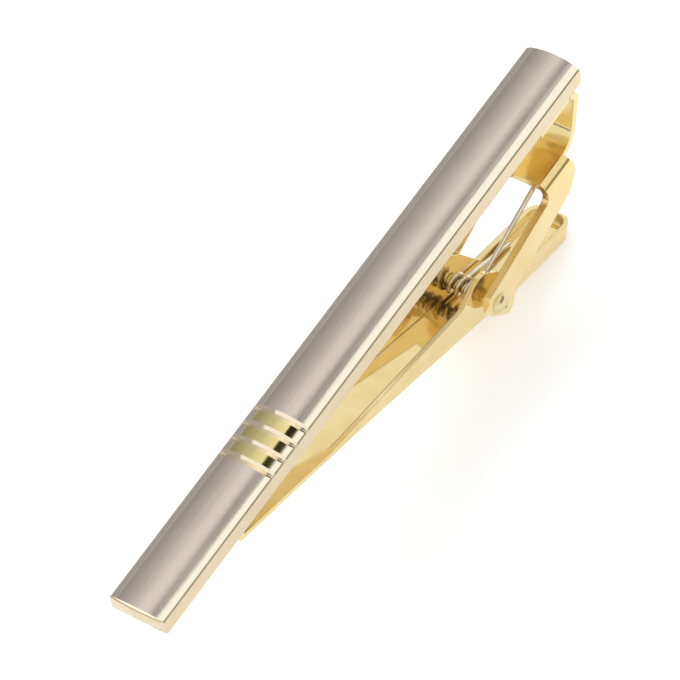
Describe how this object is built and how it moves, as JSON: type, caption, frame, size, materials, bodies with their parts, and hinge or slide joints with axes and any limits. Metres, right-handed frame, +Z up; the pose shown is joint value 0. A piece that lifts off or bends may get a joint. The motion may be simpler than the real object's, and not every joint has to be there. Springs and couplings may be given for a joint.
{
  "type": "tie clip",
  "caption": "Slim tie clip with a crowned satin bar, polished cross bands and a sprung toothed jaw that pivots on a riveted pin under the bar.",
  "frame": {"origin": "centre of the plane that the clip's lowest edge, the thumb tail, touches, under the middle of its bounding box", "axes": "+X along the bar from its free, toothed end toward the hinge end; +Y across the bar; +Z up, square to the bar, from the jaw toward the crowned face"},
  "size_m": [0.058, 0.0072, 0.0182],
  "materials": {
    "bar_back": "polished gold plate",
    "bar_face": "satin with polished shoulders and gold bands",
    "bracket": "polished gold plate",
    "jaw": "polished gold plate",
    "spring": "drawn wire, gold washed",
    "hinge_pin": "polished"
  },
  "bodies": {
    "clip": {"bar_back": "bar_back", "bar_face": "bar_face", "bracket": "bracket", "hinge_pin": "hinge_pin", "spring": "spring"},
    "lower_jaw": {"jaw": "jaw"}
  },
  "joints": [
    {"name": "jaw_hinge", "type": "hinge", "parent": "clip", "child": "lower_jaw", "pos_m": [0.0141, 0, 0.00552], "axis": [0, -1, 0], "range_deg": [0, 35], "stiffness_Nm_per_rad": 0.012, "springref_deg": -22.92, "deforming": ["spring"]}
  ]
}
